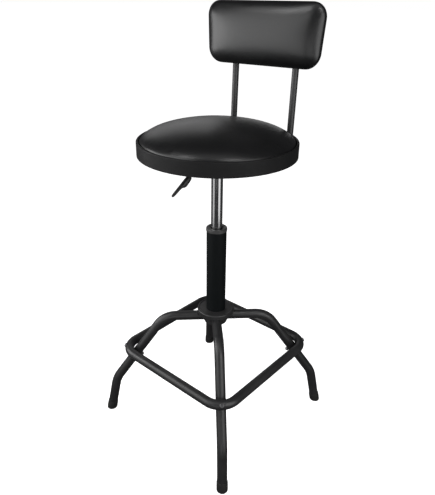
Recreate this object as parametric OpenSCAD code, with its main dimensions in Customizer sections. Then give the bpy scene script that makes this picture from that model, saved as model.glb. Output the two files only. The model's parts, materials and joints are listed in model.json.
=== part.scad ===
// Drafting chair: round padded seat and padded back on a gas lift, with a four-leg tube base
// and a square foot ring. Origin on the floor under the column, +Z up, the sitter faces -Y.

/* [Base] */
// Turn of the four legs about the column, from +X
base_turn = 38; // [0:1:89]
// Outside diameter of the leg tubes
leg_d = 25; // [22:0.5:28]
// Height of the level part of each leg
leg_z = 307; // [290:1:330]
// Distance from the column to the knee corner of a leg
knee_r = 136; // [125:1:150]
// Distance from the column to the ankle corner of a leg
ankle_r = 275; // [260:1:290]
// Height of the ankle corner of a leg
ankle_z = 106; // [90:1:120]
// Distance from the column to the middle of a foot
foot_r = 297; // [290:1:305]

/* [Foot ring] */
// Outside diameter of the ring tube
ring_d = 24; // [20:0.5:26]
// Height of the ring
ring_z = 209; // [190:1:225]
// Bend radius at the ring's corners
ring_bend = 48; // [35:1:60]

/* [Gas lift] */
// Height of the top of the column
column_top = 561; // [540:1:580]
// Radius of the column
column_r = 25; // [24.5:0.1:25.4]
// Radius of the sliding cylinder
cylinder_r = 14; // [13.5:0.1:14]
// How far the seat comes down
travel = 120; // [80:5:120]

/* [Seat] */
// Height of the plate under the seat, at the top of the travel
seat_z = 746; // [700:1:760]
// Radius of the rim round the seat
rim_r = 184; // [180:1:190]
// Height of the rim
rim_h = 33; // [28:1:38]
// Rise of the cushion from its edge to its crown
crown = 44; // [35:1:50]

/* [Back] */
// Outside diameter of the two posts
post_d = 16; // [12:0.5:16]
// Distance of each post from the middle
post_x = 83; // [80:1:90]
// Backward lean of the posts
lean = 1.8; // [0:0.1:6]
// Height of the middle of the back pad above the plate under the seat
pad_rise = 245; // [220:1:260]
// Width of the back pad at its top
pad_w = 314; // [290:1:330]
// Height of the back pad
pad_h = 142; // [130:1:150]

/* [Lever] */
// Direction of the lever about the column, from +X
lever_turn = 254; // [235:1:290]

/* [Hidden] */
$fn = 96;
eps = 0.01;

// A bend is this much thicker than the straight tube that reaches this far into it
swell = 0.05;
lap = 0.5;

// A cutting block bigger than anything it cuts
huge = 800;

// Base
tube_wall = 1.5;
knee_bend = 58;
ankle_bend = 90;
leg_slope = atan2(leg_z - ankle_z, ankle_r - knee_r);
shin_slope = atan2(ankle_z, foot_r - ankle_r);
knee_t = knee_bend * tan(leg_slope / 2);
ankle_t = ankle_bend * tan((shin_slope - leg_slope) / 2);
thigh_len = norm([ankle_r - knee_r, leg_z - ankle_z]) - knee_t - ankle_t;
shin_len = ankle_z / sin(shin_slope) - ankle_t + 5;
hub_r = 30;
hub_low = 292;
hub_top = leg_z + leg_d / 2 + 9;
leg_start = hub_r - 4;
cap_sheet = 2.5;
cap_edge = 3;
cap_roll = 1.2;
cap_r = 48;
cap_low = leg_z + leg_d / 2 + 0.05;
foot_d = leg_d + 3;
foot_sole = 4;
foot_len = 25;

// Foot ring, held against the outside of the legs
ring_gap = 0.07;
leg_r_at_ring = knee_r + (leg_z - ring_z) / tan(leg_slope);
ring_stack = leg_d / 2 + ring_d / 2 + ring_gap;
ring_corner_r = leg_r_at_ring + ring_stack / sin(leg_slope);
ring_side = (ring_corner_r - ring_bend) / sqrt(2);

// Fasteners
bolt_r = 3;
bolt_hole_r = 3.2;
hex_d = 11.5;
hex_h = 4;
nut_h = 5;
pan_h = 2.8;
pan_r = 5.5;
washer_r = 7;
washer_t = 1.2;
tee_flange = 1.5;
tee_flange_r = 9;
tee_barrel_r = 4;
tee_len = 10;
ring_bolt_len = ring_d / 2 + ring_stack + leg_d / 2 + nut_h + 2;

// Column, and the bearing that the piston rod turns on
column_low = 287;
column_wall = 1.8;
column_bore = column_r - column_wall;
column_foot_r = column_r - 0.7;
column_floor = column_low + 3;
column_edge = 3;
bush_len = 110;
bush_bore = cylinder_r + 0.08;
fit_gap = 0.05;
collar_t = 1.2;
collar_h = 8;
collar_edge = 2.5;
collar_lead = 3;
stud_r = 4;
stud_hole_r = 4.3;
race_t = 1.5;
race_r = 12;
ball_r = 1.75;
ball_pitch = 8.5;
ball_count = 10;
ball_z = column_floor + race_t + ball_r;
upper_race_z = ball_z + ball_r;
shoulder_z = upper_race_z + race_t;
clip_t = 1.2;
clip_z = column_low - 2.8;
groove_r = stud_r - 0.8;

// Gas lift
bumper_len = 11;
stop_gap = 2.5;
cylinder_low = shoulder_z + bumper_len + travel + stop_gap;
taper_z = seat_z - 48;
cylinder_top = seat_z - 13;
taper_r = cylinder_r - 0.85;
cylinder_bore = cylinder_r - 2;
tube_r = cylinder_bore - 1;
tube_bore = tube_r - 1;
gland_len = 16;
rod_r = 5;
rod_top = cylinder_low + gland_len + 22;
piston_len = 12;
piston_z = rod_top - piston_len - 2;
slide_gap = 0.06;
valve_len = 14;
spring_low = cylinder_top - 39;
spring_wire = 0.6;
spring_r = 4.2;
spring_turns = 5;
stem_r = 1.5;
pin_r = 3;
pin_top = cylinder_top + 5.5;
pin_head_r = 5.3;
pin_head_t = 2.8;
pin_head_z = cylinder_top - 21;
pin_room_r = 5.5;

// Seat
plate_t = 2.5;
plate_half = 70;
plate_bolt = 55;
plate_fold = 7;
cover_t = 1;
board_z = seat_z + plate_t + cover_t;
board_t = 12;
board_r = rim_r - 7.5;
cover_r = board_r + cover_t;
cover_hem = 150;
foam_z = board_z + board_t;
rim_z = seat_z + 1.3;
rim_sheet = 1.3;
rim_flange = 16;
rim_bead = 3;
cushion_edge_z = rim_z + rim_h - 4.3;
cushion_power = 2.5;
cushion_roll = 0.75;
crown_steps = 30;
staple_count = 24;
staple_r = 158;
staple_w = 10;
staple_wire = 0.6;

// Back
post_wall = 1.2;
post_gap = 0.95;
post_run_z = rim_z - post_gap - post_d / 2;
post_low = post_run_z - post_d / 2;
post_behind_rim = 5.65;
post_y = rim_r + post_behind_rim + post_d / 2;
post_bend = 30;
post_front = -8;
post_turn = 90 - lean;
post_t = post_bend * tan(post_turn / 2);
post_top = 48;
post_bolts_y = [15, 110];
post_corner_y = post_y - 40 * tan(lean);
pad_z = seat_z + pad_rise;
pad_y = post_corner_y + (pad_z - post_run_z) * tan(lean);
post_up = (pad_z - post_run_z) / cos(lean) + post_top - post_t;
plug_len = 8;
plug_cap = 1.5;
pad_bolts_z = [-34, 34];
panel_t = 2;
panel_front = -post_d / 2 - panel_t - 0.1;
wrap_y = panel_front - cover_t;
back_board_t = 12;
back_board_front = back_board_t - wrap_y;
pad_thick = 41.5;
pad_front = panel_front - pad_thick;
pad_corner = 35;
pad_taper = 4;

// Lever
socket_r = 19;
pivot_r = 30;
pivot_z = seat_z - 8;
pivot_pin_r = 2.5;
pivot_head_r = 4;
ear_in = 4.5;
ear_t = 2.5;
ear_reach = ear_in + ear_t;
arm_half = 3.5;
nose_gap = 0.4;
lever_bend = [76, seat_z - 37];
lever_tip = [129.7, seat_z - 76.3];
grip_slope = atan2(lever_bend[1] - lever_tip[1], lever_tip[0] - lever_bend[0]);
grip_len = norm(lever_tip - lever_bend);
rod_short = 34;

// Slices of the grip: distance from the bend, drop of its middle, half thickness, half width
grip_slices = [[4, 0, 5.6, 5.1], [11, 0.5, 6.9, 6.1], [25, 2, 7.6, 6.1], [31, 1, 6.2, 5.7], [38, -1, 3.7, 4.7],
    [60, -0.6, 3, 4.2], [grip_len, -0.4, 1.8, 3]];

// ---- Shared shapes ----

// A ring-shaped solid standing on z = 0
module pipe(r_out, r_in, h) {
    difference() {
        cylinder(r = r_out, h = h);
        translate([0, 0, -1]) cylinder(r = r_in, h = h + 2);
    }
}

// A straight length of tube along +Z whose ends reach into its neighbours, then its children at its end
module run(d, wall, len, before = 0, after = 0) {
    translate([0, 0, -before]) pipe(d / 2, d / 2 - wall, len + before + after);
    translate([0, 0, len]) children();
}

// A bend of tube that turns from +Z towards +X, then its children at its far end
module bend(d, wall, r, angle) {
    translate([r, 0, 0]) {
        rotate([90, 0, 180]) rotate_extrude(angle = angle) translate([r, 0]) difference() {
            circle(r = d / 2 + swell);
            circle(r = d / 2 - wall - swell);
        }
        rotate([0, angle, 0]) translate([-r, 0, 0]) children();
    }
}

// Everything below a height
module below(z) {
    translate([-huge / 2, -huge / 2, z - huge]) cube(huge);
}

// Puts its children at leg number k
module at_leg(k) {
    rotate([0, 0, base_turn + 90 * (k - 1)]) children();
}

// Puts its children at a ring corner, with +Z out along the bolt and z = 0 at the ring tube's middle
module at_ring_bolt(k) {
    at_leg(k) translate([ring_corner_r, 0, ring_z]) rotate([0, leg_slope, 0]) children();
}

// Puts its children on the shin of a leg, with z = 0 on the floor and +Z up the shin
module at_shin(k) {
    at_leg(k) translate([foot_r, 0, 0]) rotate([0, shin_slope - 90, 0]) children();
}

// Puts its children in the back pad's frame: the posts' middle line is y = 0, and -Y is forward
module at_pad() {
    translate([0, pad_y, pad_z]) rotate([-lean, 0, 0]) children();
}

// Puts its children in the lever's frame: +X runs out along the lever
module at_lever() {
    rotate([0, 0, lever_turn]) children();
}

// Puts its children on the lever's pivot, with +Z along the pivot pin
module at_pivot() {
    at_lever() translate([pivot_r, 0, pivot_z]) rotate([90, 0, 0]) children();
}

// Repeats its children at the four mounting bolts of the seat plate
module at_plate_bolts() {
    for (x = [-1, 1], y = [-1, 1]) translate([x * plate_bolt, y * plate_bolt, 0]) children();
}

// Repeats its children at the four bolts that hold the posts to the seat board
module at_post_bolts() {
    for (x = [-1, 1], y = post_bolts_y) translate([x * post_x, y, 0]) children();
}

// Repeats its children at every bolt through the seat board
module at_seat_bolts() {
    at_plate_bolts() children();
    at_post_bolts() children();
}

// Repeats its children at the four bolts that hold the pad to the posts, with +Z forward
module at_pad_bolts() {
    at_pad() for (x = [-1, 1], z = pad_bolts_z) translate([x * post_x, 0, z]) rotate([90, 0, 0]) children();
}

// A hex-headed bolt: the head ends at z = 0 and the shank goes up to z = len
module hex_bolt(len) {
    translate([0, 0, -hex_h]) cylinder(d = hex_d, h = hex_h, $fn = 6);
    cylinder(r = bolt_r, h = len);
}

// A tee nut with its flange standing on z = 0 and its barrel below
module tee_nut() {
    pipe(tee_flange_r, bolt_r, tee_flange);
    translate([0, 0, -tee_len]) pipe(tee_barrel_r, bolt_r, tee_len + eps);
}

// A plate outline with round corners, in the XY plane
module round_rect(w, h, r) {
    square([w - 2 * r, h], center = true);
    square([w, h - 2 * r], center = true);
    for (x = [-1, 1], y = [-1, 1]) translate([x * (w / 2 - r), y * (h / 2 - r)]) circle(r = r);
}

// A flat sheet in the back pad's frame, inset from the pad's outline, with its rear face at local y
module pad_sheet(inset_x, inset_z, r, y, t) {
    at_pad() translate([0, y, 0]) rotate([90, 0, 0]) linear_extrude(t)
        round_rect(pad_w - inset_x, pad_h - inset_z, r);
}

// The padded outline of the back, inset by a margin, a little narrower at its bottom
module pad_outline(inset) {
    r = pad_corner - inset / 2;
    top = pad_w / 2 - inset - r;
    low = top - pad_taper;
    rise = pad_h / 2 - inset - r;
    hull() for (s = [-1, 1]) {
        translate([s * top, rise]) circle(r = r, $fn = 48);
        translate([s * low, -rise]) circle(r = r, $fn = 48);
    }
}

// A slab of the pad outline between two depths, measured along local Y
module pad_slab(inset, y0, y1) {
    translate([0, y0, 0]) rotate([90, 0, 0]) linear_extrude(y0 - y1) pad_outline(inset);
}

// The solid form of the back pad, shrunk by a skin thickness
module pad_form(skin) {
    hull() {
        pad_slab(skin, panel_front - skin, pad_front + 20);
        pad_slab(skin + 5, pad_front + 20, pad_front + 10 + skin);
        pad_slab(skin + 17, pad_front + 10 + skin, pad_front + 3 + skin);
        pad_slab(skin + 44, pad_front + 3 + skin, pad_front + skin);
    }
}

// The room inside the back's cover, in front of the part that wraps round the board's rear
module pad_room() {
    difference() {
        pad_form(cover_t);
        translate([-huge / 2, wrap_y, -huge / 2]) cube(huge);
    }
}

// Height of the cushion's surface at radius r
function cushion_z(r) = cushion_edge_z + crown * pow(1 - pow(r / cover_r, cushion_power), cushion_roll);

// Outline of the cushion's crown from its edge to the middle, lowered by a skin thickness
function crown_line(skin, r_edge) = [for (i = [0:crown_steps])
    let (r = r_edge * cos(90 * i / crown_steps)) [r, cushion_z(r) - skin]];

// ---- Base ----

module leg(k) {
    color([0.13, 0.13, 0.14]) difference() {
        at_leg(k) translate([leg_start, 0, leg_z]) rotate([0, 90, 0])
            run(leg_d, tube_wall, knee_r - knee_t - leg_start, 0, lap)
            bend(leg_d, tube_wall, knee_bend, leg_slope)
            run(leg_d, tube_wall, thigh_len, lap, lap)
            bend(leg_d, tube_wall, ankle_bend, shin_slope - leg_slope)
            run(leg_d, tube_wall, shin_len, lap, 0);
        cylinder(r = hub_r, h = leg_z + leg_d);
        below(foot_sole);
        at_ring_bolt(k) translate([0, 0, -ring_stack - leg_d]) cylinder(r = bolt_hole_r, h = leg_d * 2);
    }
}

module foot(k) {
    color([0.08, 0.08, 0.08]) difference() {
        at_shin(k) translate([0, 0, -10]) cylinder(d = foot_d, h = 10 + foot_len);
        below(0);
        difference() {
            at_shin(k) translate([0, 0, -10]) cylinder(d = leg_d, h = 20 + foot_len);
            below(foot_sole);
        }
    }
}

module hub_sleeve() {
    height = hub_top - hub_low;
    color([0.12, 0.12, 0.13]) translate([0, 0, hub_low]) difference() {
        cylinder(r = hub_r, h = height);
        translate([0, 0, -eps]) cylinder(r1 = column_foot_r, r2 = column_r, h = height + 2 * eps);
    }
}

module hub_cap() {
    top = hub_top + cap_sheet;
    inner = column_r + 0.2;
    color([0.14, 0.14, 0.15]) rotate_extrude() difference() {
        union() {
            translate([inner, hub_top]) square([cap_r - inner - cap_edge, cap_sheet]);
            translate([cap_r - cap_edge, top + cap_roll - cap_edge]) circle(r = cap_edge);
            translate([cap_r - cap_sheet, cap_low]) square([cap_sheet, top + cap_roll - cap_edge - cap_low]);
        }
        translate([0, cap_low - 1]) square([cap_r - cap_sheet, hub_top - cap_low + 1]);
    }
}

module foot_ring() {
    color([0.12, 0.12, 0.13]) difference() {
        translate([0, 0, ring_z]) rotate([0, 0, base_turn + 45]) for (k = [0:3]) rotate([0, 0, 90 * k])
            translate([ring_side + ring_bend, -ring_side, 0]) rotate([-90, 0, 0]) rotate([0, 0, 180])
            run(ring_d, tube_wall, 2 * ring_side, lap, lap)
            bend(ring_d, tube_wall, ring_bend, 90);
        for (k = [1:4]) at_ring_bolt(k) translate([0, 0, -ring_d]) cylinder(r = bolt_hole_r, h = 2 * ring_d);
    }
}

module ring_bolts() {
    color([0.2, 0.2, 0.21]) for (k = [1:4]) at_ring_bolt(k) translate([0, 0, ring_d / 2]) {
        translate([0, 0, -ring_bolt_len]) cylinder(r = bolt_r, h = ring_bolt_len);
        cylinder(r1 = pan_r, r2 = pan_r - 1.5, h = pan_h);
    }
}

module ring_nuts() {
    color([0.2, 0.2, 0.21]) for (k = [1:4]) at_ring_bolt(k)
        translate([0, 0, -ring_stack - leg_d / 2 - nut_h]) difference() {
            cylinder(d = hex_d, h = nut_h, $fn = 6);
            translate([0, 0, -1]) cylinder(r = bolt_r, h = nut_h + 2);
        }
}

module column_tube() {
    chamfer = 0.8;
    color([0.05, 0.06, 0.06]) difference() {
        union() {
            translate([0, 0, hub_top]) cylinder(r = column_r, h = column_top - hub_top - chamfer);
            translate([0, 0, column_top - chamfer])
                cylinder(r1 = column_r, r2 = column_r - chamfer, h = chamfer);
            translate([0, 0, hub_low]) cylinder(r1 = column_foot_r, r2 = column_r, h = hub_top - hub_low);
            translate([0, 0, column_low + column_edge])
                cylinder(r = column_foot_r, h = hub_low - column_low - column_edge);
            translate([0, 0, column_low]) rotate_extrude() {
                square([column_foot_r - column_edge, column_edge]);
                intersection() {
                    translate([column_foot_r - column_edge, column_edge]) circle(r = column_edge);
                    square([column_foot_r, column_edge]);
                }
            }
        }
        translate([0, 0, column_floor]) cylinder(r = column_bore, h = column_top);
        translate([0, 0, column_low - 1]) cylinder(r = stud_hole_r, h = 10);
    }
}

// Outline of the guide bush and of its collar, which caps the top of the column
module bush_outline() {
    low = column_top - bush_len;
    seam = column_top + fit_gap;
    top = column_top + collar_t;
    out = column_r + collar_t;
    edge = [for (a = [0:15:90]) [out - collar_edge * (1 - cos(a)), top - collar_edge * (1 - sin(a))]];
    polygon(concat(
        [[bush_bore, low], [column_bore - fit_gap, low], [column_bore - fit_gap, seam],
            [column_r + fit_gap, seam], [column_r + fit_gap, top - collar_h], [out, top - collar_h]],
        edge,
        [[bush_bore + collar_lead, top - 0.6], [bush_bore, top - collar_lead]]));
}

module guide_bush() {
    color([0.22, 0.22, 0.23]) rotate_extrude() bush_outline();
}

module bearing_lower_race() {
    color([0.6, 0.6, 0.62]) translate([0, 0, column_floor]) pipe(race_r, stud_hole_r, race_t);
}

// ---- Piston rod ----

module bearing_upper_race() {
    color([0.6, 0.6, 0.62]) translate([0, 0, upper_race_z]) pipe(race_r, stud_r, race_t);
}

module bearing_balls() {
    color([0.75, 0.75, 0.77]) for (i = [0:ball_count - 1]) rotate([0, 0, 360 * i / ball_count])
        translate([ball_pitch, 0, ball_z]) sphere(r = ball_r - 0.01, $fn = 48);
}

module bearing_cage() {
    cage_t = 1.2;
    color([0.65, 0.5, 0.2]) translate([0, 0, ball_z - cage_t / 2]) difference() {
        pipe(race_r - 1, stud_r + 1.5, cage_t);
        for (i = [0:ball_count - 1]) rotate([0, 0, 360 * i / ball_count]) translate([ball_pitch, 0, -1])
            cylinder(r = ball_r + 0.05, h = cage_t + 2);
    }
}

module piston_rod() {
    color([0.7, 0.7, 0.72]) difference() {
        union() {
            translate([0, 0, shoulder_z]) cylinder(r = rod_r, h = rod_top - shoulder_z);
            translate([0, 0, column_low - 5]) cylinder(r = stud_r, h = shoulder_z - column_low + 5);
        }
        translate([0, 0, clip_z]) pipe(stud_r + 1, groove_r, clip_t);
    }
}

module piston() {
    groove = 2.4;
    color([0.6, 0.6, 0.62]) translate([0, 0, piston_z]) difference() {
        pipe(tube_bore - 0.1, rod_r, piston_len);
        translate([0, 0, (piston_len - groove) / 2]) pipe(tube_bore + 1, tube_bore - groove, groove);
    }
}

module piston_seal() {
    color([0.05, 0.05, 0.05]) translate([0, 0, piston_z + piston_len / 2]) rotate_extrude()
        translate([tube_bore - 1.25, 0]) circle(r = 1.14, $fn = 32);
}

module rod_bumper() {
    color([0.06, 0.06, 0.06]) translate([0, 0, shoulder_z]) pipe(race_r - 0.5, rod_r, bumper_len);
}

module rod_washer() {
    color([0.6, 0.6, 0.62]) translate([0, 0, clip_z + clip_t]) pipe(9, stud_r, 1.5);
}

module rod_clip() {
    slot = 4.4;
    color([0.25, 0.25, 0.26]) translate([0, 0, clip_z]) difference() {
        pipe(washer_r, groove_r, clip_t);
        translate([0, -slot / 2, -1]) cube([washer_r + 1, slot, clip_t + 2]);
    }
}

// ---- Gas lift ----

module gas_cylinder() {
    color([0.7, 0.7, 0.72]) difference() {
        union() {
            translate([0, 0, cylinder_low]) cylinder(r = cylinder_r, h = taper_z - cylinder_low);
            translate([0, 0, taper_z]) cylinder(r1 = cylinder_r, r2 = taper_r, h = cylinder_top - taper_z);
        }
        translate([0, 0, cylinder_low - 1]) cylinder(r = cylinder_bore, h = spring_low - cylinder_low + 1);
        translate([0, 0, spring_low - eps]) cylinder(r = pin_room_r, h = pin_head_z + 3 - spring_low);
        translate([0, 0, pin_head_z]) cylinder(r = pin_r + slide_gap, h = cylinder_top);
    }
}

module rod_gland() {
    color([0.3, 0.3, 0.31]) translate([0, 0, cylinder_low + 0.5])
        pipe(cylinder_bore, rod_r + slide_gap, gland_len - 0.5);
}

module pressure_tube() {
    low = cylinder_low + gland_len;
    color([0.6, 0.6, 0.62]) translate([0, 0, low]) pipe(tube_r, tube_bore, spring_low - valve_len - low);
}

module valve_body() {
    color([0.65, 0.5, 0.2]) translate([0, 0, spring_low - valve_len])
        pipe(cylinder_bore, stem_r + slide_gap, valve_len);
}

// A helix of round wire, swept as one closed surface
module coil_spring(r, wire, pitch, turns, sides = 8, steps = 16) {
    last = steps * turns;
    function at(i) = let (a = 360 * i / steps) [r * cos(a), r * sin(a), pitch * i / steps];
    function rim(i, j) = let (a = 360 * i / steps, b = 360 * j / sides)
        at(i) + wire * [cos(b) * cos(a), cos(b) * sin(a), sin(b)];
    points = [for (i = [0:last], j = [0:sides - 1]) rim(i, j)];
    walls = [for (i = [0:last - 1], j = [0:sides - 1]) let (n = (j + 1) % sides)
        [i * sides + j, (i + 1) * sides + j, (i + 1) * sides + n, i * sides + n]];
    ends = [[for (j = [0:sides - 1]) j], [for (j = [sides - 1:-1:0]) last * sides + j]];
    polyhedron(points = points, faces = concat(walls, ends));
}

module valve_spring() {
    end_gap = 0.1;
    pitch = (pin_head_z - spring_low - 2 * (end_gap + spring_wire)) / spring_turns;
    color([0.7, 0.7, 0.72]) translate([0, 0, spring_low + spring_wire + end_gap])
        coil_spring(spring_r, spring_wire, pitch, spring_turns);
}

module release_pin() {
    stem_low = spring_low - valve_len - 3;
    color([0.75, 0.75, 0.77]) {
        translate([0, 0, stem_low]) cylinder(r = stem_r, h = pin_head_z - stem_low + eps);
        translate([0, 0, pin_head_z]) cylinder(r = pin_head_r, h = pin_head_t);
        translate([0, 0, pin_head_z + eps]) cylinder(r = pin_r, h = pin_top - pin_head_z - eps);
    }
}

// ---- Seat ----

module seat_socket() {
    taper_len = cylinder_top - taper_z;
    room = seat_z - cylinder_top + 1;
    color([0.1, 0.1, 0.1]) difference() {
        translate([0, 0, taper_z]) cylinder(r = socket_r, h = seat_z - taper_z);
        translate([0, 0, taper_z - eps]) cylinder(r1 = cylinder_r, r2 = taper_r, h = taper_len + eps);
        translate([0, 0, cylinder_top - eps]) cylinder(r = taper_r, h = room);
        at_lever() translate([0, -ear_in, cylinder_top]) cube([pivot_r, 2 * ear_in, room]);
    }
}

module seat_plate() {
    fold_len = 2 * (plate_half - 12);
    color([0.1, 0.1, 0.1]) {
        difference() {
            translate([0, 0, seat_z]) linear_extrude(plate_t) round_rect(2 * plate_half, 2 * plate_half, 8);
            translate([0, 0, seat_z - 1]) at_plate_bolts() cylinder(r = bolt_hole_r, h = plate_t + 2);
        }
        for (x = [-plate_half, plate_half - plate_t]) translate([x, -fold_len / 2, seat_z - plate_fold])
            cube([plate_t, fold_len, plate_fold]);
    }
}

module seat_board() {
    color([0.65, 0.5, 0.33]) translate([0, 0, board_z]) difference() {
        cylinder(r = board_r, h = board_t, $fn = 180);
        translate([0, 0, -1]) at_seat_bolts() cylinder(r = tee_barrel_r, h = board_t + 2);
    }
}

module seat_foam() {
    underside = [[0, foam_z], [board_r, foam_z]];
    color([0.8, 0.75, 0.5]) difference() {
        rotate_extrude($fn = 180) polygon(concat(underside, crown_line(cover_t, board_r)));
        translate([0, 0, foam_z - 1]) at_seat_bolts() cylinder(r = tee_flange_r, h = 1 + tee_flange);
    }
}

module seat_cover() {
    inner = crown_line(cover_t, board_r);
    hem = [[cover_hem, board_z - cover_t], [cover_r, board_z - cover_t]];
    back = [for (i = [len(inner) - 1:-1:0]) inner[i]];
    color([0.06, 0.06, 0.06]) rotate_extrude($fn = 180)
        polygon(concat(hem, crown_line(0, cover_r), back, [[board_r, board_z], [cover_hem, board_z]]));
}

module seat_dust_cover() {
    color([0.09, 0.09, 0.09]) translate([0, 0, board_z - cover_t]) difference() {
        cylinder(r = cover_hem - 0.5, h = cover_t);
        translate([0, 0, -1]) at_seat_bolts() cylinder(r = bolt_hole_r, h = cover_t + 2);
    }
}

module seat_rim() {
    color([0.13, 0.13, 0.13]) translate([0, 0, rim_z]) rotate_extrude($fn = 180) {
        translate([rim_r - rim_sheet, 0]) square([rim_sheet, rim_h - rim_bead]);
        translate([rim_r - rim_flange, 0]) square([rim_flange, board_z - cover_t - rim_z]);
        translate([rim_r - rim_bead, rim_h - rim_bead]) circle(r = rim_bead, $fn = 48);
    }
}

module seat_staples() {
    color([0.6, 0.6, 0.62]) for (i = [0:staple_count - 1]) rotate([0, 0, 360 * (i + 0.5) / staple_count])
        translate([staple_r - staple_wire, -staple_w / 2, board_z - cover_t - staple_wire])
            cube([2 * staple_wire, staple_w, staple_wire]);
}

module seat_bolts() {
    low = seat_z - washer_t;
    color([0.2, 0.2, 0.21]) at_plate_bolts() translate([0, 0, low]) hex_bolt(foam_z + tee_flange - low);
}

module seat_washers() {
    color([0.5, 0.5, 0.52]) at_plate_bolts() translate([0, 0, seat_z - washer_t])
        pipe(washer_r, bolt_hole_r, washer_t);
}

module seat_tee_nuts() {
    color([0.6, 0.6, 0.62]) at_plate_bolts() translate([0, 0, foam_z]) tee_nut();
}

// ---- Back ----

module back_post(side) {
    color([0.16, 0.16, 0.17]) difference() {
        translate([side * post_x, post_front, post_run_z]) rotate([-90, 0, 0]) rotate([0, 0, -90])
            run(post_d, post_wall, post_corner_y - post_t - post_front, 0, lap)
            bend(post_d, post_wall, post_bend, post_turn)
            run(post_d, post_wall, post_up, lap, 0);
        translate([0, 0, post_run_z - post_d]) at_post_bolts() cylinder(r = bolt_hole_r, h = 2 * post_d);
        at_pad_bolts() translate([0, 0, -post_d]) cylinder(r = bolt_hole_r, h = 2 * post_d);
    }
}

// A plastic plug that closes a post's end, with its cap standing on z = 0
module plug() {
    translate([0, 0, -plug_len]) cylinder(r = post_d / 2 - post_wall, h = plug_len + eps);
    cylinder(r = post_d / 2, h = plug_cap);
    translate([0, 0, plug_cap - eps]) cylinder(r1 = post_d / 2, r2 = post_d / 2 - plug_cap, h = plug_cap);
}

module post_plugs() {
    color([0.07, 0.07, 0.07]) for (s = [-1, 1]) {
        at_pad() translate([s * post_x, 0, post_top]) plug();
        translate([s * post_x, post_front, post_run_z]) rotate([90, 0, 0]) plug();
    }
}

module post_spacers() {
    low = post_run_z + post_d / 2;
    color([0.5, 0.5, 0.52]) at_post_bolts() translate([0, 0, low])
        pipe(washer_r, bolt_hole_r, board_z - cover_t - low);
}

module post_bolts() {
    color([0.2, 0.2, 0.21]) at_post_bolts() translate([0, 0, post_low])
        hex_bolt(foam_z + tee_flange - post_low);
}

module post_tee_nuts() {
    color([0.6, 0.6, 0.62]) at_post_bolts() translate([0, 0, foam_z]) tee_nut();
}

module back_panel() {
    color([0.09, 0.09, 0.09]) difference() {
        pad_sheet(34, 26, 24, panel_front + panel_t, panel_t);
        at_pad_bolts() cylinder(r = bolt_hole_r, h = 30);
    }
}

module back_board() {
    color([0.65, 0.5, 0.33]) difference() {
        pad_sheet(20, 12, 28, wrap_y, back_board_t);
        at_pad_bolts() cylinder(r = tee_barrel_r, h = 60);
    }
}

module back_foam() {
    color([0.8, 0.75, 0.5]) difference() {
        at_pad() pad_room();
        pad_sheet(20, 12, 28, 0, back_board_front);
        at_pad_bolts() cylinder(r = tee_flange_r, h = back_board_front + tee_flange);
    }
}

module back_cover() {
    color([0.06, 0.06, 0.06]) difference() {
        at_pad() difference() {
            pad_form(0);
            pad_room();
        }
        pad_sheet(56, 48, 16, 0, -wrap_y + 0.5);
    }
}

module back_bolts() {
    color([0.2, 0.2, 0.21]) at_pad_bolts() translate([0, 0, -post_d / 2])
        hex_bolt(post_d / 2 + back_board_front + tee_flange);
}

module back_tee_nuts() {
    color([0.6, 0.6, 0.62]) at_pad_bolts() translate([0, 0, back_board_front]) tee_nut();
}

// ---- Lever ----

module lever_bracket() {
    drop = 6;
    color([0.1, 0.1, 0.1]) difference() {
        at_lever() for (y = [-ear_reach, ear_in]) translate([0, y, pivot_z - drop])
            cube([pivot_r + 7, ear_t, seat_z - pivot_z + drop]);
        cylinder(r = socket_r, h = seat_z + 1);
        at_pivot() translate([0, 0, -20]) cylinder(r = pivot_pin_r, h = 40);
    }
}

module lever_pivot_pin() {
    color([0.6, 0.6, 0.62]) at_pivot() {
        translate([0, 0, -ear_reach]) cylinder(r = pivot_pin_r, h = 2 * ear_reach);
        for (z = [-ear_reach - 1.5, ear_reach]) translate([0, 0, z]) cylinder(r = pivot_head_r, h = 1.5);
    }
}

// The lever's flat inner arm, from its nose over the release pin to past the pivot, in the XZ plane
module arm_outline() {
    nose = pin_top + nose_gap;
    polygon([[-4, nose], [5, nose], [pivot_r - 5, pivot_z - 4.2], [pivot_r + 8, pivot_z - 5.5],
        [pivot_r + 10, pivot_z + 0.5], [pivot_r + 2, pivot_z + 4.5], [-4, nose + 4.5]]);
}

// A round rod between two points of the lever's XZ plane
module lever_bar(p, q, r) {
    slope = atan2(p[1] - q[1], q[0] - p[0]);
    translate([p[0], 0, p[1]]) rotate([0, 90 + slope, 0]) cylinder(r = r, h = norm(q - p));
}

module lever_rod() {
    start = [pivot_r + 4, pivot_z - 1.5];
    end = lever_tip - rod_short * [cos(grip_slope), -sin(grip_slope)];
    color([0.15, 0.15, 0.16]) difference() {
        at_lever() {
            translate([0, arm_half, 0]) rotate([90, 0, 0]) linear_extrude(2 * arm_half) arm_outline();
            lever_bar(start, lever_bend, arm_half);
            translate([lever_bend[0], 0, lever_bend[1]]) sphere(r = arm_half + swell);
            lever_bar(lever_bend, end, arm_half);
        }
        at_pivot() translate([0, 0, -20]) cylinder(r = pivot_pin_r + slide_gap, h = 40);
    }
}

// One thin oval slice of the grip
module grip_slice(s) {
    translate([s[1], 0, s[0] - 0.2]) scale([s[2], s[3], 1]) cylinder(r = 1, h = 0.2, $fn = 32);
}

// A plastic grip over the rod's outer end, with a belly under its root and a thin blade
module lever_grip() {
    color([0.06, 0.06, 0.06]) at_lever() translate([lever_bend[0], 0, lever_bend[1]])
        rotate([0, 90 + grip_slope, 0]) difference() {
            for (i = [0:len(grip_slices) - 2]) hull() {
                grip_slice(grip_slices[i]);
                grip_slice(grip_slices[i + 1]);
            }
            translate([0, 0, -1]) cylinder(r = arm_half, h = grip_len - rod_short + 1);
        }
}

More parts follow.
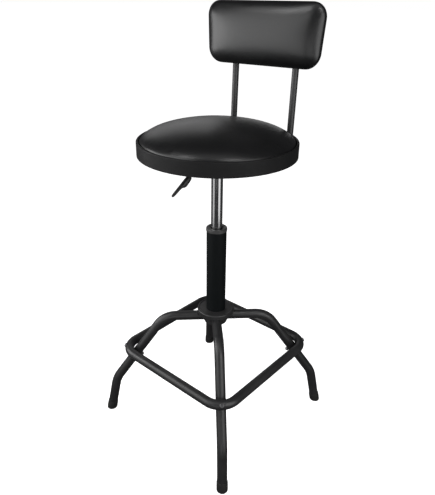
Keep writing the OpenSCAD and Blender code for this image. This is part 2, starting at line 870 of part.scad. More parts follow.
leg(1);  // leg_1
leg(2);  // leg_2
leg(3);  // leg_3
leg(4);  // leg_4
foot(1);  // foot_1
foot(2);  // foot_2
foot(3);  // foot_3
foot(4);  // foot_4
hub_sleeve();
hub_cap();
foot_ring();
ring_bolts();
ring_nuts();
column_tube();
guide_bush();
bearing_lower_race();
bearing_balls();
bearing_cage();
bearing_upper_race();
piston_rod();
piston();
piston_seal();
rod_bumper();
rod_washer();
rod_clip();
gas_cylinder();
rod_gland();
pressure_tube();
valve_body();
valve_spring();
release_pin();
seat_socket();
seat_plate();
seat_board();
seat_foam();
seat_cover();
seat_dust_cover();
seat_rim();
seat_staples();
seat_bolts();
seat_washers();
seat_tee_nuts();
back_post(-1);  // back_post_left
back_post(1);  // back_post_right
post_plugs();
post_spacers();
post_bolts();
post_tee_nuts();
back_panel();
back_board();
back_foam();
back_cover();
back_bolts();
back_tee_nuts();
lever_bracket();
lever_pivot_pin();
lever_rod();
lever_grip();
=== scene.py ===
"""Looks of the drafting chair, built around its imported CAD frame.

Lengths are in millimetres in the tables below and in metres in every Blender call (MM converts).
The frame's axes: origin on the floor under the column, +Z up, the sitter faces -Y.
"""

import json
import math

import bmesh
import bpy
from mathutils import Matrix, Vector

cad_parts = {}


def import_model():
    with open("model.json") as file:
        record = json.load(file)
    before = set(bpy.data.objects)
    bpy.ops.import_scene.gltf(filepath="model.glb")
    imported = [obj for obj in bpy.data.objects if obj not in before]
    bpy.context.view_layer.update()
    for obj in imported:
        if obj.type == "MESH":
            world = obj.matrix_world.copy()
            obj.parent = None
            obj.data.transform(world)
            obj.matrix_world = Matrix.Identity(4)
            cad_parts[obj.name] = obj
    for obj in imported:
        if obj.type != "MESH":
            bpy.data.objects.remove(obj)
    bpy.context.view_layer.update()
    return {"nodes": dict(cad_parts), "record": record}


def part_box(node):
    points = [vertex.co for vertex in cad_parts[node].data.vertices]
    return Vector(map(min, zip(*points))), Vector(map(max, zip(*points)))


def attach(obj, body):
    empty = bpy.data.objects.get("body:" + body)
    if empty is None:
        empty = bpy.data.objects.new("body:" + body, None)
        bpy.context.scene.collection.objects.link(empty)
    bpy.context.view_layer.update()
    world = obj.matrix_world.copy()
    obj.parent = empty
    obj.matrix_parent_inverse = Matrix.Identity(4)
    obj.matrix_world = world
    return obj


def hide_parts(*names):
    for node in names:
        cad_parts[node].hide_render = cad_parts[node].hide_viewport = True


MM = 0.001
TAU = 2 * math.pi

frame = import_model()
scene = bpy.context.scene


# ---- Places that come from the frame, in millimetres ----

def span(node):
    """The lowest and highest corners of a CAD node, in millimetres."""
    low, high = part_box(node)
    return low / MM, high / MM


COVER_LOW, COVER_HIGH = span("seat_cover")
PANEL_LOW, PANEL_HIGH = span("back_panel")

# Base: four bent legs on a hub, and a ring bolted outside them
BASE_TURN = math.radians(38)
HUB_R = span("hub_sleeve")[1].x
LEG_D = 25.0
LEG_Z = 307.0
KNEE_R = 136.0
ANKLE_R = 275.0
ANKLE_Z = 106.0
FOOT_R = 297.0
THIGH_SLOPE = math.atan2(LEG_Z - ANKLE_Z, ANKLE_R - KNEE_R)
SHIN_SLOPE = math.atan2(ANKLE_Z, FOOT_R - ANKLE_R)
RING_D = 24.0
RING_Z = 209.0
RING_GAP = 0.07

# Seat, posts and lever
SEAT_Z = 746.0
SEAT_CROWN = 44.0
POST_D = 16.0
POST_X = 83.0
LEAN = math.radians(1.8)
LEVER_TURN = math.radians(254)
LEVER_BEND = Vector((76.0, 0, SEAT_Z - 37.0))
LEVER_TIP = Vector((129.7, 0, SEAT_Z - 76.3))

# Back pad, in its own frame: Y = 0 on the posts' middle line, -Y forward
PAD_HALF_W = 157.0
PAD_HALF_H = 71.0
PAD_CORNER = 35.0
PAD_TAPER = 8.0
PAD_REAR = -10.1
PAD_SIDE = -19.6
PAD_FRONT = -50.1

# How far the cloth may push a cushion out
SWELL = 1.5

# Fasteners
THREAD_R = 2.95
HEX_FLATS = 10.0
HEX_H = 4.0
NUT_H = 5.0
PAN_R = 5.5
PAN_H = 2.8
WELD_R = 1.5


# ---- Materials ----

class Nodes:
    """A small helper that adds shader nodes to one material and links them."""

    def __init__(self, name):
        self.material = bpy.data.materials.new(name)
        self.material.use_nodes = True
        self.tree = self.material.node_tree
        self.shader = self.tree.nodes["Principled BSDF"]
        self.coords = self.tree.nodes.new("ShaderNodeTexCoord").outputs["Object"]

    def add(self, kind, **inputs):
        """A new node with sockets linked to its named inputs."""
        node = self.tree.nodes.new(kind)
        for key, value in inputs.items():
            self.tree.links.new(value, node.inputs[key])
        return node

    def stretch(self, x, y, z):
        """The object's coordinates, scaled by a factor along each axis."""
        node = self.add("ShaderNodeMapping", Vector=self.coords)
        node.inputs["Scale"].default_value = (x, y, z)
        return node.outputs["Vector"]

    def noise(self, scale, detail=3.0, rough=0.55, vector=None):
        node = self.add("ShaderNodeTexNoise", Vector=vector or self.coords)
        node.inputs["Scale"].default_value = scale
        node.inputs["Detail"].default_value = detail
        node.inputs["Roughness"].default_value = rough
        return node.outputs["Fac"]

    def cells(self, scale, feature="F1"):
        node = self.add("ShaderNodeTexVoronoi", Vector=self.coords)
        node.feature = feature
        node.inputs["Scale"].default_value = scale
        return node.outputs["Distance"]

    def ramp(self, value, low, high, out_low=0.0, out_high=1.0):
        """value from low..high, clamped, to out_low..out_high."""
        node = self.add("ShaderNodeMapRange", Value=value)
        node.inputs["From Min"].default_value = low
        node.inputs["From Max"].default_value = high
        node.inputs["To Min"].default_value = out_low
        node.inputs["To Max"].default_value = out_high
        return node.outputs["Result"]

    def total(self, a, b):
        node = self.tree.nodes.new("ShaderNodeMath")
        node.operation = "ADD"
        self.tree.links.new(a, node.inputs[0])
        self.tree.links.new(b, node.inputs[1])
        return node.outputs["Value"]

    def blend(self, factor, low, high):
        """A colour between low and high."""
        node = self.tree.nodes.new("ShaderNodeMix")
        node.data_type = "RGBA"
        self.tree.links.new(factor, node.inputs["Factor"])
        for key, value in (("A", low), ("B", high)):
            socket = [s for s in node.inputs if s.name == key and s.type == "RGBA"][0]
            if isinstance(value, bpy.types.NodeSocket):
                self.tree.links.new(value, socket)
            else:
                socket.default_value = (*value, 1.0)
        return [s for s in node.outputs if s.type == "RGBA"][0]

    def bump(self, height, strength, distance, normal=None):
        node = self.add("ShaderNodeBump", Height=height)
        node.inputs["Strength"].default_value = strength
        node.inputs["Distance"].default_value = distance
        if normal is not None:
            self.tree.links.new(normal, node.inputs["Normal"])
        return node.outputs["Normal"]

    def finish(self, color, roughness, normal, **constants):
        """Puts sockets or constants on the shader, and returns the material."""
        for key, value in (("Base Color", color), ("Roughness", roughness), ("Normal", normal)):
            if value is None:
                continue
            if isinstance(value, bpy.types.NodeSocket):
                self.tree.links.new(value, self.shader.inputs[key])
            elif key == "Base Color":
                self.shader.inputs[key].default_value = (*value, 1.0)
            else:
                self.shader.inputs[key].default_value = value
        for key, value in constants.items():
            self.shader.inputs[key.replace("_", " ")].default_value = value
        return self.material


def powder_coat(name, low, high, rough, grain=1.0, shine=0.5):
    """Satin powder coat: orange peel, faint mottling, and duller patches."""
    n = Nodes(name)
    mottle = n.noise(9.0, 4.0)
    speck = n.cells(900.0)
    color = n.blend(n.ramp(mottle, 0.35, 0.7), low, high)
    roughness = n.ramp(n.noise(35.0, 3.0), 0.3, 0.7, rough - 0.06, rough + 0.08)
    peel = n.bump(n.noise(620.0, 2.0), 0.16 * grain, 0.0006)
    normal = n.bump(speck, 0.10 * grain, 0.0004, peel)
    return n.finish(color, roughness, normal, Specular_IOR_Level=shine)


def vinyl(name):
    """Glossy upholstery vinyl with a fine pressed grain and faint rubbed patches."""
    n = Nodes(name)
    pebble = n.cells(820.0, "SMOOTH_F1")
    crease = n.cells(430.0, "DISTANCE_TO_EDGE")
    wear = n.noise(7.0, 5.0, 0.6)
    color = n.blend(n.ramp(wear, 0.35, 0.75), (0.0034, 0.0035, 0.0038), (0.0065, 0.0065, 0.007))
    roughness = n.ramp(wear, 0.3, 0.75, 0.30, 0.38)
    fine = n.bump(pebble, 0.07, 0.0004)
    grain = n.bump(n.ramp(crease, 0.0, 0.12), 0.05, 0.0004, fine)
    return n.finish(color, roughness, grain, IOR=1.52, Specular_IOR_Level=0.55)


def chrome(name, tone):
    """Hard chrome on ground steel: faint vertical and ring marks, thin oil smears."""
    rough = 0.12
    n = Nodes(name)
    drawn = n.noise(60.0, 3.0, vector=n.stretch(18.0, 18.0, 0.6))
    rings = n.noise(160.0, 2.0, vector=n.stretch(0.3, 0.3, 9.0))
    smear = n.noise(22.0, 4.0)
    color = n.blend(n.ramp(smear, 0.3, 0.7), (tone * 0.9,) * 3, (tone, tone, tone * 1.01))
    roughness = n.ramp(n.total(drawn, smear), 0.7, 1.3, rough - 0.04, rough + 0.08)
    normal = n.bump(rings, 0.04, 0.0002)
    return n.finish(color, roughness, normal, Metallic=1.0)


def zinc(name, tone, rough=0.38):
    """Plated or machined steel with fine turning marks."""
    n = Nodes(name)
    cloud = n.noise(70.0, 4.0)
    color = n.blend(n.ramp(cloud, 0.3, 0.7), (tone * 0.75,) * 3, (tone, tone, tone * 1.03))
    roughness = n.ramp(cloud, 0.3, 0.7, rough - 0.07, rough + 0.1)
    normal = n.bump(n.noise(900.0, 2.0), 0.12, 0.0003)
    return n.finish(color, roughness, normal, Metallic=1.0)


def brass(name):
    n = Nodes(name)
    cloud = n.noise(60.0, 4.0)
    color = n.blend(n.ramp(cloud, 0.3, 0.7), (0.42, 0.28, 0.09), (0.6, 0.43, 0.17))
    normal = n.bump(n.noise(700.0, 2.0), 0.1, 0.0003)
    return n.finish(color, n.ramp(cloud, 0.3, 0.7, 0.26, 0.4), normal, Metallic=1.0)


def rubber(name, tone):
    """Moulded rubber: matt, a little dusty, with a fine spark-eroded skin."""
    n = Nodes(name)
    dust = n.noise(26.0, 5.0, 0.65)
    color = n.blend(n.ramp(dust, 0.4, 0.8), (tone,) * 3, (tone * 1.9, tone * 1.85, tone * 1.75))
    roughness = n.ramp(dust, 0.35, 0.75, 0.55, 0.78)
    normal = n.bump(n.noise(1100.0, 2.0), 0.2, 0.0003)
    return n.finish(color, roughness, normal)


def plastic(name, tone=0.012, rough=0.42):
    """Moulded plastic with a fine etched texture."""
    n = Nodes(name)
    shade = n.noise(18.0, 3.0)
    color = n.blend(n.ramp(shade, 0.35, 0.7), (tone,) * 3, (tone * 1.35,) * 3)
    roughness = n.ramp(n.noise(45.0), 0.3, 0.7, rough - 0.05, rough + 0.07)
    normal = n.bump(n.noise(1500.0, 1.5), 0.14, 0.0003)
    return n.finish(color, roughness, normal)


def plywood(name):
    """Birch plywood: grain along Y on the faces, plies through the thickness."""
    n = Nodes(name)
    grain = n.noise(26.0, 5.0, 0.6, n.stretch(6.0, 0.5, 1.0))
    plies = n.noise(260.0, 1.0, vector=n.stretch(0.02, 0.02, 2.0))
    face = n.blend(n.ramp(grain, 0.3, 0.7), (0.42, 0.27, 0.13), (0.58, 0.41, 0.23))
    color = n.blend(n.ramp(plies, 0.45, 0.6, 0.0, 0.45), face, (0.27, 0.16, 0.07))
    normal = n.bump(grain, 0.2, 0.0004)
    return n.finish(color, n.ramp(grain, 0.3, 0.7, 0.5, 0.7), normal)


def foam(name):
    """Open-cell foam, with painted shade darkening the middle of each pore."""
    n = Nodes(name)
    pores_and_shade = n.cells(650.0)
    # The colour is darker at each cell's centre: painted shade inside the pores. The same cells shape the
    # pores in the bump.
    color = n.blend(n.ramp(pores_and_shade, 0.1, 0.6), (0.5, 0.42, 0.2), (0.75, 0.68, 0.42))
    return n.finish(color, 0.95, n.bump(pores_and_shade, 0.6, 0.001))


def dust_cloth(name):
    """Black spun-bonded cloth with its pattern of pressed points."""
    n = Nodes(name)
    points = n.cells(420.0)
    fibres = n.noise(900.0, 4.0, 0.7)
    color = n.blend(n.ramp(fibres, 0.35, 0.7), (0.008, 0.008, 0.009), (0.03, 0.03, 0.032))
    pressed = n.bump(n.ramp(points, 0.15, 0.4), 0.5, 0.0005)
    return n.finish(color, 0.82, n.bump(fibres, 0.4, 0.0004, pressed))


def floor_paint(name):
    """The plain pale floor."""
    n = Nodes(name)
    tone = n.noise(1.5, 2.0)
    color = n.blend(n.ramp(tone, 0.3, 0.7), (0.86, 0.86, 0.86), (0.88, 0.88, 0.88))
    return n.finish(color, 0.9, None, Emission_Color=(1.0, 1.0, 1.0, 1.0), Emission_Strength=1.0)


MATERIALS = {
    "frame_paint": powder_coat("frame_paint", (0.022, 0.022, 0.0225), (0.034, 0.034, 0.035), 0.35),
    "column_paint": powder_coat(
        "column_paint", (0.003, 0.0044, 0.0048), (0.0044, 0.006, 0.0065), 0.55, 0.7, 0.16
    ),
    "bracket_paint": powder_coat("bracket_paint", (0.024, 0.024, 0.0245), (0.034, 0.034, 0.0345), 0.38),
    "rim_paint": powder_coat("rim_paint", (0.011, 0.011, 0.0113), (0.0145, 0.0145, 0.0149), 0.5, 1.3, 0.12),
    "rubber": rubber("rubber", 0.017),
    "seal_rubber": rubber("seal_rubber", 0.01),
    "zinc": zinc("zinc", 0.2),
    "bearing_steel": zinc("bearing_steel", 0.6, 0.22),
    "brass": brass("brass"),
    "chrome": chrome("chrome", 0.56),
    "bush_plastic": plastic("bush_plastic", 0.05, 0.38),
    "plastic": plastic("plastic"),
    "plywood": plywood("plywood"),
    "foam": foam("foam"),
    "vinyl": vinyl("vinyl"),
    "dust_cloth": dust_cloth("dust_cloth"),
}


def dress_frame():
    """Gives every CAD node the procedural material of its slot."""
    for part in frame["record"]["subparts"]:
        node = frame["nodes"][part["node"]]
        node.data.materials.clear()
        node.data.materials.append(MATERIALS[part["material_slot"]])


# ---- Mesh helpers ----

def piece(name, points, faces, slot, body, replaces=(), matrix=None, sharp=None):
    """A new mesh piece from points in millimetres, in the chair's frame or moved there by matrix."""
    mesh = bpy.data.meshes.new(name)
    mesh.from_pydata([tuple(Vector(p) * MM) for p in points], [], faces)
    mesh.update()
    bm = bmesh.new()
    bm.from_mesh(mesh)
    bmesh.ops.remove_doubles(bm, verts=bm.verts, dist=1e-7)
    bmesh.ops.recalc_face_normals(bm, faces=bm.faces)
    bm.to_mesh(mesh)
    bm.free()
    mesh.shade_smooth()
    if sharp is not None:
        mesh.set_sharp_from_angle(angle=math.radians(sharp))
    if matrix is not None:
        mesh.transform(matrix)
    mesh.materials.append(MATERIALS[slot])
    obj = bpy.data.objects.new(name, mesh)
    scene.collection.objects.link(obj)
    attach(obj, body)
    if replaces:
        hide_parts(*replaces)
    return obj


def loft(rings, ends=True):
    """Points and faces of a skin over closed rings of equal size, closed at both ends if ends is set."""
    size = len(rings[0])
    points = [p for ring in rings for p in ring]
    faces = []
    for i in range(len(rings) - 1):
        for j in range(size):
            k = (j + 1) % size
            faces.append((i * size + j, i * size + k, (i + 1) * size + k, (i + 1) * size + j))
    if ends:
        faces.append(tuple(range(size))[::-1])
        faces.append(tuple((len(rings) - 1) * size + j for j in range(size)))
    return points, faces


def join(parts):
    """Several (points, faces) pairs as one."""
    points, faces = [], []
    for more_points, more_faces in parts:
        start = len(points)
        points += more_points
        faces += [tuple(start + i for i in face) for face in more_faces]
    return points, faces


def moved(part, matrix):
    """A (points, faces) pair moved by a matrix in millimetres."""
    points, faces = part
    return [matrix @ Vector(p) for p in points], faces


def arc(cx, cy, r, start, end, steps):
    """Points on an arc, with angles in degrees."""
    angles = [math.radians(start + (end - start) * k / steps) for k in range(steps + 1)]
    return [(cx + r * math.cos(a), cy + r * math.sin(a)) for a in angles]


def polar(r, angle, z):
    return (r * math.cos(angle), r * math.sin(angle), z)


def circle(r, z, steps):
    return [polar(r, TAU * k / steps, z) for k in range(steps)]


def smoothstep(low, high, value):
    t = min(max((value - low) / (high - low), 0.0), 1.0)
    return t * t * (3 - 2 * t)


def at_leg(k):
    """Turns a piece made on the +X axis to leg k."""
    return Matrix.Rotation(BASE_TURN + k * TAU / 4, 4, "Z")


# ---- Soft pieces ----

def inflate(obj, held):
    """Swells a closed mesh with Blender's cloth, holding some points and moving none by more than SWELL."""
    frames = 20
    cap = SWELL * MM
    rest = [v.co.copy() for v in obj.data.vertices]
    group = obj.vertex_groups.new(name="held")
    group.add(held, 1.0, "REPLACE")
    cloth = obj.modifiers.new("swell", "CLOTH")
    settings = cloth.settings
    settings.quality = 6
    settings.mass = 0.35
    settings.tension_stiffness = 18
    settings.compression_stiffness = 18
    settings.shear_stiffness = 6
    settings.bending_stiffness = 2.5
    settings.vertex_group_mass = "held"
    settings.use_pressure = True
    settings.uniform_pressure_force = 4.0
    settings.effector_weights.gravity = 0
    cloth.collision_settings.use_collision = False
    cloth.point_cache.frame_start = 1
    cloth.point_cache.frame_end = frames
    for number in range(1, frames + 1):
        scene.frame_set(number)
    graph = bpy.context.evaluated_depsgraph_get()
    swollen = obj.evaluated_get(graph).to_mesh()
    ends = [v.co.copy() for v in swollen.vertices]
    obj.evaluated_get(graph).to_mesh_clear()
    obj.modifiers.remove(cloth)
    obj.vertex_groups.remove(group)
    scene.frame_set(1)
    for vertex, start, end in zip(obj.data.vertices, rest, ends):
        step = end - start
        if step.length > cap:
            step *= cap / step.length
        vertex.co = start + step
    obj.data.update()


def subdivide(obj, levels):
    """Applies a subdivision surface to the mesh."""
    modifier = obj.modifiers.new("smooth", "SUBSURF")
    modifier.levels = levels
    modifier.render_levels = levels
    graph = bpy.context.evaluated_depsgraph_get()
    mesh = bpy.data.meshes.new_from_object(obj.evaluated_get(graph))
    obj.modifiers.clear()
    obj.data = mesh
    obj.data.shade_smooth()


def square_grid(count):
    """Points of a grid over the square -1..1, its faces, and its boundary's indices in order."""
    points = [(-1 + 2 * i / count, -1 + 2 * j / count) for j in range(count + 1) for i in range(count + 1)]
    row = count + 1
    faces = [(j * row + i, j * row + i + 1, (j + 1) * row + i + 1, (j + 1) * row + i)
             for j in range(count) for i in range(count)]
    edge = list(range(count))
    edge += [j * row + count for j in range(count)]
    edge += [count * row + i for i in range(count, 0, -1)]
    edge += [j * row for j in range(count, 0, -1)]
    return points, faces, edge


def disc_point(a, b):
    """A point of the square -1..1 as (share of the radius, angle) on a disc."""
    if a == 0 and b == 0:
        return 0.0, 0.0
    if abs(a) >= abs(b):
        angle = math.pi / 4 * b / a
        return abs(a), angle if a > 0 else angle + math.pi
    angle = math.pi / 2 - math.pi / 4 * a / b
    return abs(b), angle if b > 0 else angle + math.pi


def gathers(angle):
    """A fixed, uneven ripple round the seat, from -1 to 1."""
    return (0.5 * math.sin(23 * angle + 0.7) + 0.3 * math.sin(41 * angle + 2.1)
            + 0.2 * math.sin(67 * angle + 4.0)) * (0.6 + 0.4 * math.sin(3 * angle + 1.0))


def skirt(points, faces, edge, rings):
    """Adds rings of points below a grid's boundary, and returns the last one's indices."""
    last = edge
    for ring in rings:
        start = len(points)
        points += ring
        now = list(range(start, start + len(ring)))
        for j in range(len(now)):
            k = (j + 1) % len(now)
            faces.append((last[j], now[j], now[k], last[k]))
        last = now
    return last


def close_flat(points, faces, grid, edge, last, place):
    """Closes a ring of points with a grid like the one it started from, placed by place(a, b)."""
    row = round(math.sqrt(len(grid)))
    names = {i: last[j] for j, i in enumerate(edge)}
    for i, (a, b) in enumerate(grid):
        if i not in names:
            names[i] = len(points)
            points.append(place(a, b))
    for j in range(row - 1):
        for i in range(row - 1):
            k = j * row + i
            faces.append((names[k], names[k + row], names[k + row + 1], names[k + 1]))


def seat_cushion():
    """The domed vinyl cushion: a cover drawn over foam and tucked down inside the rim."""
    radius = COVER_HIGH.x
    cover_h = 71.5
    crown_z = COVER_LOW.z + cover_h
    edge_z = crown_z - SEAT_CROWN
    low_z = COVER_LOW.z + 0.1
    hem_r = 150.5
    hem_z = low_z + 1.2
    fullness = 2.5
    roll = 0.62
    crowding = 0.65
    pucker = 0.35
    pucker_band = 34.0
    rim_band = 3.0
    grid, faces, edge = square_grid(72)
    points = []
    for a, b in grid:
        share, angle = disc_point(a, b)
        share = (1 - crowding) * share + crowding * math.sin(share * math.pi / 2)
        rise = (crown_z - SWELL - edge_z) * (1 - share ** fullness) ** roll
        points.append(polar(radius * share, angle, edge_z + rise))
    tuck = [
        (radius - 0.1, edge_z - 2.0), (radius - 0.2, edge_z - 8.0), (radius - 0.2, low_z + 2.0),
        (radius - 0.7, low_z + 0.5), (radius - 2.2, low_z), (hem_r, low_z), (hem_r, hem_z),
    ]
    angles = [disc_point(*grid[i])[1] for i in edge]
    last = skirt(points, faces, edge, [[polar(r, angle, z) for angle in angles] for r, z in tuck])

    def under(a, b):
        share, angle = disc_point(a, b)
        return polar(hem_r * share, angle, hem_z)

    close_flat(points, faces, grid, edge, last, under)
    obj = piece("seat_cushion", points, faces, "vinyl", "seat", ("seat_cover", "seat_foam"))
    vertices = obj.data.vertices
    held_r = (radius - rim_band) * MM
    held = [v.index for v in vertices if v.co.xy.length > held_r or v.co.z < edge_z * MM]
    inflate(obj, held)
    for vertex in vertices:
        if vertex.co.z > (edge_z - 1) * MM:
            depth = pucker * smoothstep(radius - pucker_band, radius - rim_band, vertex.co.xy.length / MM)
            vertex.co.z += depth * MM * gathers(math.atan2(vertex.co.y, vertex.co.x))
    subdivide(obj, 2)


def pad_matrix():
    """Places the back pad's own frame, found from the rear panel in front of the posts."""
    middle = (PANEL_LOW + PANEL_HIGH) / 2
    panel_to_posts = 1.1
    offset = Vector((0, panel_to_posts + POST_D / 2, 0))
    turn = Matrix.Rotation(-LEAN, 4, "X")
    return Matrix.Translation(middle * MM) @ turn @ Matrix.Translation(offset * MM)


def taper(z, half_h):
    """The pad's width at height z as a share of its width at the top."""
    return 1 - PAD_TAPER / PAD_HALF_W * (0.5 - 0.5 * z / half_h)


def outline_point(a, b, inset):
    """The point of the pad's inset outline that a point (a, b) of the unit square's edge maps to."""
    half_w, half_h = PAD_HALF_W - inset, PAD_HALF_H - inset
    corner = PAD_CORNER - 0.5 * inset
    x, z = a * half_w, b * half_h
    cx, cz = half_w - corner, half_h - corner
    if abs(x) > cx and abs(z) > cz:
        px, pz = abs(x) - cx, abs(z) - cz
        length = math.hypot(px, pz)
        x = math.copysign(cx + px / length * corner, x)
        z = math.copysign(cz + pz / length * corner, z)
    return x * taper(z, half_h), z


def edge_distance(x, z):
    """How far a point is inside the pad's outline."""
    half_w = PAD_HALF_W * taper(z, PAD_HALF_H)
    dx, dz = abs(x) - (half_w - PAD_CORNER), abs(z) - (PAD_HALF_H - PAD_CORNER)
    outside = math.hypot(max(dx, 0), max(dz, 0))
    return PAD_CORNER - outside - min(max(dx, dz), 0)


def back_cushion():
    """The back pad: vinyl over foam, rounded all round and drawn over the rear of its board."""
    roll = 34.0
    roundness = 2.2
    crown = 15.0
    flatness = 3.2
    crowding = 1.55
    hem = 26.0
    hem_y = PAD_REAR - 0.9
    grid, faces, edge = square_grid(56)
    points = []
    for a, b in grid:
        share = max(abs(a), abs(b))
        x, z = 0.0, 0.0
        if share > 0:
            even = 1 - (1 - share) ** crowding
            x, z = outline_point(a / share, b / share, 0.0)
            x, z = x * even, z * even
        depth = min(max(edge_distance(x, z), 0.0) / roll, 1.0)
        rise = (1 - (1 - depth) ** roundness) ** (1 / roundness)
        level = (1 - abs(x / PAD_HALF_W) ** flatness) * (1 - (z / PAD_HALF_H) ** 2)
        front = PAD_FRONT + SWELL + crown * (1 - level)
        points.append((x, PAD_SIDE + (front - PAD_SIDE) * rise, z))
    wrap = [
        (0.3, PAD_REAR - 5.5), (1.4, PAD_REAR - 2.6), (3.6, PAD_REAR - 0.7), (7.0, PAD_REAR),
        (hem, PAD_REAR), (hem, hem_y),
    ]
    rings = []
    for inset, y in wrap:
        outline = [outline_point(*grid[i], inset) for i in edge]
        rings.append([(x, y, z) for x, z in outline])
    last = skirt(points, faces, edge, rings)

    def behind(a, b):
        share = max(abs(a), abs(b))
        if share == 0:
            return (0.0, hem_y, 0.0)
        x, z = outline_point(a / share, b / share, hem)
        return (x * share, hem_y, z * share)

    close_flat(points, faces, grid, edge, last, behind)
    obj = piece("back_cushion", points, faces, "vinyl", "seat", ("back_cover", "back_foam"))
    held = [v.index for v in obj.data.vertices if v.co.y > (PAD_SIDE - 2.0) * MM]
    inflate(obj, held)
    obj.data.transform(pad_matrix())
    subdivide(obj, 2)


# ---- Rubber feet ----

def foot_cap(k):
    """A moulded cap on a shin: a soft lip at its top, a thick heel, and a flat sole on the floor."""
    up = Vector((-math.cos(SHIN_SLOPE), 0, math.sin(SHIN_SLOPE)))
    across = Vector((math.sin(SHIN_SLOPE), 0, math.cos(SHIN_SLOPE)))
    bore_r = LEG_D / 2 - 0.05
    bore_low = 5.0
    bore_high = 23.6
    level_below = 8.0
    steps = 48

    # Radius and distance along the shin, from the bore's end over the lip to the sole
    profile = [(bore_r, bore_low), (bore_r, bore_high)]
    profile += arc(LEG_D / 2 + 0.55, 24.0, 0.6, 180, 0, 6)
    profile += [(13.75, 22.0), (13.8, 17.0), (13.95, 8.0), (14.0, 3.2)]
    profile += arc(11.6, 2.4, 2.4, 0, -90, 6)
    profile += [(9.5, 0.0), (9.2, 0.5), (6.0, 0.5), (5.8, 0.0)]

    def place(r, t, angle):
        x, y, _ = polar(r, angle, 0.0)
        level = Vector((x, y, 0))
        square = across * x + Vector((0, y, 0))
        point = Vector((FOOT_R, 0, 0)) + up * t + level.lerp(square, smoothstep(0.0, level_below, t))
        return (point.x, point.y, max(point.z, 0.0))

    points, faces = loft([[place(r, t, TAU * j / steps) for j in range(steps)] for r, t in profile])
    piece(f"foot_cap_{k + 1}", points, faces, "rubber", "base", (f"foot_{k + 1}",), at_leg(k), sharp=60)


# ---- Fasteners ----

def hex_head(height):
    """A hexagon head or nut blank with chamfered corners, standing on z = 0."""
    flat_r = HEX_FLATS / 2
    corner_r = HEX_FLATS / math.sqrt(3)
    steps = 48

    def ring(z, limit):
        out = []
        for k in range(steps):
            a = TAU * k / steps
            flat = flat_r / math.cos((a % (TAU / 6)) - TAU / 12)
            out.append(polar(min(flat, limit), a, z))
        return out

    return loft([
        ring(0.0, flat_r - 0.1), ring(0.25, flat_r + 0.1), ring(0.7, corner_r),
        ring(height - 0.7, corner_r), ring(height - 0.25, flat_r + 0.1), ring(height, flat_r - 0.3),
    ])


def hex_bolt(length):
    """A hex bolt whose head's bearing face is z = 0, head below, thread up to z = length."""
    head = moved(hex_head(HEX_H), Matrix.Translation((0, 0, -HEX_H)))
    return join([head, thread(0.0, length)])


def thread(low, high):
    """A threaded shank: a skin of shallow ridges that climb like a helix, narrowed at its end."""
    pitch = 1.0
    ridge_depth = 0.28
    lead_in = 0.9
    lead_in_depth = 0.5
    steps = 24
    per_turn = 6
    count = int((high - low) / pitch * per_turn)
    rings = []
    for i in range(count + 1):
        z = low + (high - low) * i / count
        ring = []
        for k in range(steps):
            phase = (i / per_turn - k / steps) % 1.0
            r = THREAD_R - ridge_depth * abs(2 * phase - 1)
            r -= lead_in_depth * smoothstep(high - lead_in, high, z)
            ring.append(polar(r, TAU * k / steps, z))
        rings.append(ring)
    return loft(rings)


def pan_head():
    """A domed screw head with a cross recess, standing on z = 0."""
    edge_r = 1.9
    arm_half = 0.75
    recess = 1.5
    steps = 64
    profile = [(PAN_R * 0.98, 0.0), (PAN_R, 0.35)]
    profile += arc(PAN_R - edge_r, PAN_H - edge_r, edge_r, 20, 90, 5)
    profile += [(PAN_R * 0.45, PAN_H), (PAN_R * 0.3, PAN_H), (PAN_R * 0.12, PAN_H)]
    rings = []
    for r, z in profile:
        ring = []
        for x, y, _ in circle(r, z, steps):
            in_arm = min(abs(x), abs(y)) < arm_half and r < PAN_R * 0.55
            ring.append((x, y, z - recess if in_arm else z))
        rings.append(ring)
    return loft(rings)


def ring_fasteners():
    """The four screws that hold the foot ring to the legs, and their nuts."""
    stack = LEG_D / 2 + RING_D / 2 + RING_GAP
    corner_r = KNEE_R + (LEG_Z - RING_Z) / math.tan(THIGH_SLOPE) + stack / math.sin(THIGH_SLOPE)
    into_head = 0.2
    past_nut = 2.0
    length = RING_D / 2 + stack + LEG_D / 2 + NUT_H + past_nut
    over = Matrix.Rotation(math.pi, 4, "X")
    screws, nuts = [], []
    for k in range(4):
        here = at_leg(k) @ Matrix.Translation((corner_r, 0, RING_Z)) @ Matrix.Rotation(THIGH_SLOPE, 4, "Y")
        head = here @ Matrix.Translation((0, 0, RING_D / 2))
        screws.append(moved(pan_head(), head))
        screws.append(moved(thread(-into_head, length), head @ over))
        back = here @ Matrix.Translation((0, 0, -stack - LEG_D / 2)) @ over
        nuts.append(moved(hex_head(NUT_H), back))
    points, faces = join(screws)
    piece("ring_screws", points, faces, "zinc", "base", ("ring_bolts",), sharp=35)
    points, faces = join(nuts)
    piece("ring_hex_nuts", points, faces, "zinc", "base", ("ring_nuts",), sharp=35)


def board_bolts():
    """The hex bolts up into the seat board: four through the plate, four through the posts."""
    plate_rows = (-55.0, 55.0)
    post_rows = (15.0, 110.0)
    groups = {
        "seat_hex_bolts": ("seat_bolts", [(x, y) for x in plate_rows for y in plate_rows]),
        "post_hex_bolts": ("post_bolts", [(x, y) for x in (-POST_X, POST_X) for y in post_rows]),
    }
    for name, (node, places) in groups.items():
        low, high = span(node)
        face = low.z + HEX_H
        parts = [moved(hex_bolt(high.z - face), Matrix.Translation((x, y, face))) for x, y in places]
        points, faces = join(parts)
        piece(name, points, faces, "zinc", "seat", (node,), sharp=35)


